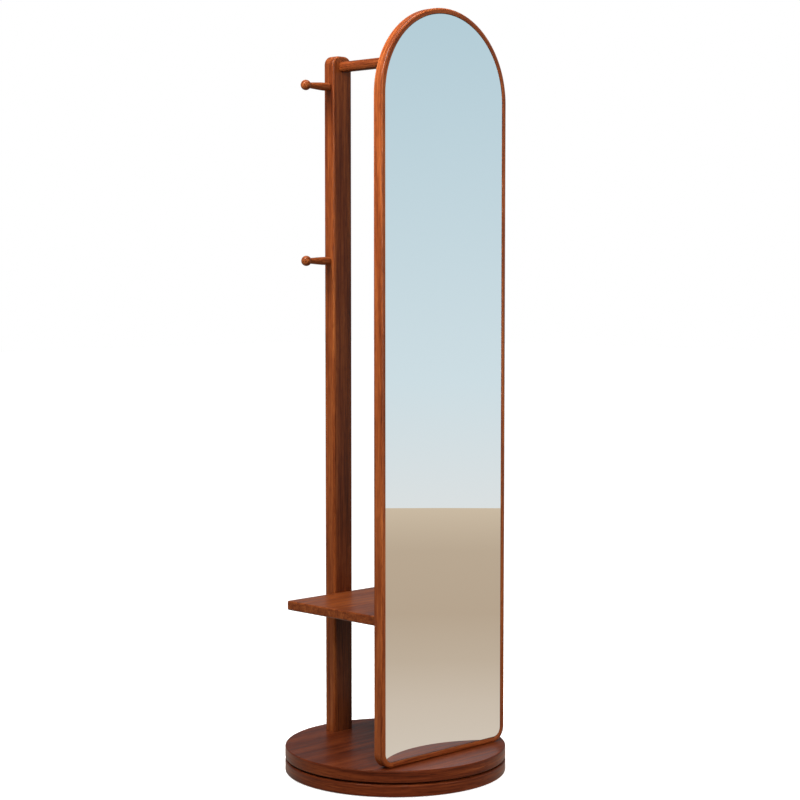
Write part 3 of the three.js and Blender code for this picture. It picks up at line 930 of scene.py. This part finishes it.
def makePeg(node):
    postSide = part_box("post")[0].x
    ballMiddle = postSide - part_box(node)[0].x - peg["ball"]
    neckAngle = math.degrees(math.asin(peg["neck"] / peg["ball"]))
    neckAt = ballMiddle - peg["ball"] * math.cos(math.radians(neckAngle))
    tenon, chamfer, rounding = peg["tenonRadius"], peg["tenonChamfer"], peg["shoulderRound"]
    rings = [(-peg["tenonLength"], tenon - chamfer), (chamfer - peg["tenonLength"], tenon), (fitGap, tenon)]
    rings += arcRings(
        fitGap + rounding, peg["shoulder"] - rounding, rounding, 0, 90, peg["shoulderSteps"],
    )
    for step in range(peg["taperSteps"]):
        share = step / peg["taperSteps"]
        at = peg["taperStart"] + (neckAt - peg["taperStart"]) * share
        rings.append((at, peg["shoulder"] - (peg["shoulder"] - peg["neck"]) * share ** peg["taperPower"]))
    rings += arcRings(ballMiddle, 0, peg["ball"], neckAngle, peg["ballEndAngle"], peg["ballSteps"])
    piece = turnPiece("x", postSide, acrossOf(node, "x"), rings, peg["sides"], direction=-1)
    layGrain(piece, boardGrain("x", 7.3))
    return piece


upperPeg = makePeg("peg_upper")
lowerPeg = copyPiece(upperPeg, Matrix.Translation(middleOf("peg_lower") - middleOf("peg_upper")))
finishPiece(upperPeg, "upperPeg", "turntable", shadedStandWalnut, ["peg_upper"])
finishPiece(lowerPeg, "lowerPeg", "turntable", shadedStandWalnut, ["peg_lower"])
print("pegs done")


# bolts, screws, the rail's stud and the caps

screw = {
    "head": 0.0034, "headHeight": 0.0014, "domed": [(0, 0.45), (0.0002, 0.75), (0.0006, 0.95), (0.0010, 1)],
    "shank": 0.0018, "plain": 0.0005, "pitch": 0.0012, "threadDepth": 0.0005, "point": 0.003,
    "tapered": [(0.0006, 0.35), (0, 0.08)],
    "slotWidth": 0.0008, "slotLength": 0.0034, "slotDepth": 0.0008, "sides": 24,
}


def threadRings(start, end, radius, depth, pitch):
    rings = []
    for turn in range(int((end - start) / pitch)):
        rings += [(start + (turn + 0.5) * pitch, radius - depth), (start + (turn + 1) * pitch, radius)]
    return rings


def laidAlong(node, axis, direction):
    low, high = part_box(node)
    i = axisIndex[axis]
    return (low[i] if direction > 0 else high[i]), high[i] - low[i], acrossOf(node, axis)


def makeBolt(node, axis, direction):
    start, length, across = laidAlong(node, axis, direction)
    head, seat, shank, tip = bolt["head"], bolt["headHeight"], bolt["shank"], bolt["tip"]
    rounding, edge, plainEnd = bolt["headRound"], bolt["seatEdge"], length - bolt["threaded"]
    rings = arcRings(rounding, head - rounding, rounding, 0, 90, 4)
    rings += [(seat - edge, head), (seat, head - edge), (seat, shank), (plainEnd, shank)]
    rings += threadRings(plainEnd, length - tip, shank, bolt["threadDepth"], bolt["pitch"])
    rings.append((length, shank - tip))
    piece = turnPiece(axis, start, across, rings, bolt["sides"], direction)
    hexEnd = start + direction * bolt["hexDepth"]
    return cutOut(piece, startRod(axis, bolt["hexRadius"], start - direction * pastFace, hexEnd, across, 6))


def makeScrew(node, axis, direction):
    start, length, across = laidAlong(node, axis, direction)
    head, seat, shank = screw["head"], screw["headHeight"], screw["shank"]
    rings = [(distance, head * share) for distance, share in screw["domed"]] + [(seat, head), (seat, shank)]
    threadEnd = length - screw["point"]
    rings += threadRings(seat + screw["plain"], threadEnd, shank, screw["threadDepth"], screw["pitch"])
    rings += [(length - distance, shank * share) for distance, share in screw["tapered"]]
    piece = turnPiece(axis, start, across, rings, screw["sides"], direction)
    i = axisIndex[axis]
    others = [k for k in range(3) if k != i]
    blades = []
    for wide, narrow in (others, others[::-1]):
        half = Vector((0, 0, 0))
        half[i] = screw["slotDepth"]
        half[wide] = screw["slotLength"] / 2
        half[narrow] = screw["slotWidth"] / 2
        centre = Vector(placed(axis, start, across))
        blades.append(startBlock(centre - half, centre + half))
    for blade in blades:
        cutOut(piece, blade)
    return piece


def makeAlike(maker, nodes, axis, direction, body, material=steel):
    # the first is modelled, the others are copies of it
    first = maker(nodes[0], axis, direction)
    shifts = [middleOf(node) - middleOf(nodes[0]) for node in nodes[1:]]
    copies = [copyPiece(first, Matrix.Translation(shift)) for shift in shifts]
    for piece, node in zip([first] + copies, nodes):
        finishPiece(piece, pieceName(node), body, material, [node])


makeAlike(makeScrew, lowerScrewNodes, "z", -1, "base")
makeAlike(makeScrew, upperScrewNodes, "z", 1, "turntable")
makeAlike(makeBolt, mirrorBolts, "z", 1, "turntable")
makeAlike(makeBolt, postBolts, "z", 1, "turntable")
makeAlike(makeBolt, crossBolts, "y", -1, "turntable")
makeAlike(makeScrew, cleatScrews, "y", -1, "turntable")
makeAlike(makeScrew, shelfScrews, "z", 1, "turntable")


def makeStud(node, axis, direction):
    start, length, across = laidAlong(node, axis, direction)
    shank, tip = bolt["shank"], bolt["tip"]
    rings = [(0, shank - tip), (tip, shank)]
    rings += threadRings(tip, length - tip, shank, bolt["threadDepth"], bolt["pitch"])
    rings.append((length, shank - tip))
    return turnPiece(axis, start, across, rings, bolt["sides"], direction)


cap = {  # the crown is a list of shares of the height and steps in from the rim
    "edge": 0.0003, "crown": [(0.45, 0), (0.8, 0.0006), (0.95, 0.0018), (1, 0.0038)], "sides": 64,
}


def makeCap(node, axis, direction):
    start, length, across = laidAlong(node, axis, direction)
    radius = (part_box(node)[1].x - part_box(node)[0].x) / 2
    rings = [(0, radius - cap["edge"]), (cap["edge"], radius)]
    rings += [(length * share, radius - inwards) for share, inwards in cap["crown"]]
    return turnPiece(axis, start, across, rings, cap["sides"], direction)


makeAlike(makeStud, ["rail_stud"], "y", 1, "turntable")
makeAlike(
    makeCap, ["rail_bolt_cap", "shelf_left_bolt_cap", "shelf_right_bolt_cap"], "y", 1,
    "turntable", capPlastic,
)
print("fasteners done")


# studio: camera, lights and a plain pale floor

camera = {
    "place": (-2.981, -3.001, 1.102), "heading": 45.05, "tilt": -3.75,
    "lens": 86.57, "sensor": 36, "reach": 60,
}


def addCamera():
    data = bpy.data.cameras.new("camera")
    data.lens = camera["lens"]
    data.sensor_width = camera["sensor"]
    data.clip_end = camera["reach"]
    holder = bpy.data.objects.new("camera", data)
    holder.location = camera["place"]
    holder.rotation_euler = (math.radians(90 + camera["tilt"]), 0, math.radians(camera["heading"] - 90))
    bpy.context.scene.collection.objects.link(holder)
    bpy.context.scene.camera = holder


def addAreaLight(name, place, target, size, power, colour, spread=180):
    data = bpy.data.lights.new(name, "AREA")
    data.shape = "RECTANGLE"
    data.size, data.size_y = size
    data.spread = math.radians(spread)
    data.energy = power
    data.color = colour
    light = bpy.data.objects.new(name, data)
    light.location = place
    light.rotation_euler = (Vector(target) - Vector(place)).to_track_quat("-Z", "Y").to_euler()
    bpy.context.scene.collection.objects.link(light)


def addSun(name, fromDirection, power, softness, colour):
    data = bpy.data.lights.new(name, "SUN")
    data.energy = power
    data.angle = math.radians(softness)
    data.color = colour
    light = bpy.data.objects.new(name, data)
    light.rotation_euler = (-Vector(fromDirection)).to_track_quat("-Z", "Y").to_euler()
    bpy.context.scene.collection.objects.link(light)


def addWorld(strength, backdropStrength):
    world = bpy.data.worlds.new("studio")
    world.use_nodes = True
    bpy.context.scene.world = world
    nodes, links = world.node_tree.nodes, world.node_tree.links
    background = nodes["Background"]
    background.inputs["Color"].default_value = (1, 1, 1, 1)
    rays = nodes.new("ShaderNodeLightPath")
    level = nodes.new("ShaderNodeMapRange")
    level.inputs["To Min"].default_value = strength
    level.inputs["To Max"].default_value = backdropStrength
    links.new(rays.outputs["Is Camera Ray"], level.inputs["Value"])
    links.new(level.outputs["Result"], background.inputs["Strength"])


paleFloor = {
    "size": 40, "tones": [(0.3, (0.905, 0.910, 0.920)), (0.7, (0.920, 0.925, 0.935))],
    "cloudScale": (2, 2, 2), "roughness": 0.85, "gloss": 0.2, "glow": 0.75,
}


def addFloor():
    bpy.ops.object.select_all(action="DESELECT")
    bpy.ops.mesh.primitive_plane_add(size=paleFloor["size"], location=(0, 0, 0))
    floor = bpy.context.object
    floor.name = "floor"
    material, nodes, links, shader = newMaterial("paleFloor")
    place = nodes.new("ShaderNodeTexCoord").outputs["Object"]
    cloud = stretchedNoise(nodes, links, place, paleFloor["cloudScale"], 3)
    links.new(ramped(nodes, links, cloud, paleFloor["tones"]), shader.inputs["Base Color"])
    shader.inputs["Roughness"].default_value = paleFloor["roughness"]
    shader.inputs["Specular IOR Level"].default_value = paleFloor["gloss"]
    shader.inputs["Emission Color"].default_value = (1, 1, 1, 1)
    shader.inputs["Emission Strength"].default_value = paleFloor["glow"]
    floor.data.materials.append(material)
    floor.visible_diffuse = False


# the mirror and the glossy faces see this room, and the camera and the diffuse light don't
reflectedRoom = {
    "radius": 5.0, "height": 4.5, "corners": 96, "rugLevel": 0.001,
    "wall": [(0.0, (0.78, 0.80, 0.80)), (0.25, (0.68, 0.78, 0.82)), (1.0, (0.50, 0.65, 0.72))],
    "wallLevels": (0.0, 2.4), "dimming": (-1.2, 1.2), "frontStrength": 1.0, "backStrength": 0.35,
    "rug": [
        (0.0, (0.70, 0.60, 0.50)), (0.12, (0.65, 0.54, 0.435)), (0.24, (0.57, 0.455, 0.345)),
        (0.40, (0.52, 0.40, 0.29)), (0.70, (0.54, 0.42, 0.305)), (1.0, (0.66, 0.53, 0.39)),
    ],
    "rugReach": (0.3, 5.0),
}


def spanned(nodes, links, value, span, low, high):
    reach = nodes.new("ShaderNodeMapRange")
    reach.inputs["From Min"].default_value, reach.inputs["From Max"].default_value = span
    reach.inputs["To Min"].default_value, reach.inputs["To Max"].default_value = low, high
    links.new(value, reach.inputs["Value"])
    return reach.outputs["Result"]


def glowing(name, colours, span, onWall):
    material, nodes, links, shader = newMaterial(name)
    place = nodes.new("ShaderNodeTexCoord").outputs["Object"]
    split = nodes.new("ShaderNodeSeparateXYZ")
    links.new(place, split.inputs["Vector"])
    away = nodes.new("ShaderNodeVectorMath")
    away.operation = "LENGTH"
    links.new(place, away.inputs[0])
    share = spanned(nodes, links, split.outputs["Z"] if onWall else away.outputs["Value"], span, 0, 1)
    links.new(ramped(nodes, links, share, colours), shader.inputs["Emission Color"])
    shader.inputs["Base Color"].default_value = (0, 0, 0, 1)
    shader.inputs["Specular IOR Level"].default_value = 0
    shader.inputs["Emission Strength"].default_value = reflectedRoom["frontStrength"]
    if onWall:
        strength = spanned(
            nodes, links, split.outputs["Y"], reflectedRoom["dimming"],
            reflectedRoom["frontStrength"], reflectedRoom["backStrength"],
        )
        links.new(strength, shader.inputs["Emission Strength"])
    return material


def onlyReflected(piece, name, material):
    piece.name = name
    piece.data.materials.append(material)
    piece.visible_camera = False
    piece.visible_diffuse = False
    piece.visible_shadow = False


def addReflectedRoom():
    radius, height = reflectedRoom["radius"], reflectedRoom["height"]
    bpy.ops.object.select_all(action="DESELECT")
    bpy.ops.mesh.primitive_cylinder_add(
        vertices=reflectedRoom["corners"], radius=radius, depth=height, end_fill_type="NOTHING",
        location=(0, 0, height / 2),
    )
    bpy.ops.object.transform_apply(location=True, rotation=True, scale=True)
    wallGlow = glowing("wallGlow", reflectedRoom["wall"], reflectedRoom["wallLevels"], True)
    onlyReflected(bpy.context.object, "reflectedWall", wallGlow)
    bpy.ops.object.select_all(action="DESELECT")
    bpy.ops.mesh.primitive_circle_add(
        vertices=reflectedRoom["corners"], radius=radius, fill_type="NGON",
        location=(0, 0, reflectedRoom["rugLevel"]),
    )
    bpy.ops.object.transform_apply(location=True, rotation=True, scale=True)
    rugGlow = glowing("rugGlow", reflectedRoom["rug"], reflectedRoom["rugReach"], False)
    onlyReflected(bpy.context.object, "reflectedRug", rugGlow)


addCamera()
addWorld(0.15, 1.0)
addSun("softSun", (-0.50, -0.12, 0.80), 0.8, 50, (1, 0.99, 0.97))
addAreaLight("sideWindow", (-1.45, 0.1, 2.75), (0, 0, 1.6), (0.9, 1.1), 19.5, (1, 0.98, 0.94), 80)
addAreaLight("frontStrip", (-2.0, -3.0, 1.9), (0, 0, 1.2), (0.5, 1.6), 70, (1, 0.97, 0.94))
addAreaLight("lowFill", (0.7, -3.1, 0.9), (0, 0, 0.3), (0.9, 0.6), 26, (1, 0.96, 0.92))
addAreaLight("overhead", (0, 0, 3.4), (0, 0, 0), (1.0, 1.0), 34, (1, 0.96, 0.92))
addFloor()
addReflectedRoom()
bpy.context.scene.view_settings.view_transform = "Standard"
print("studio ready")
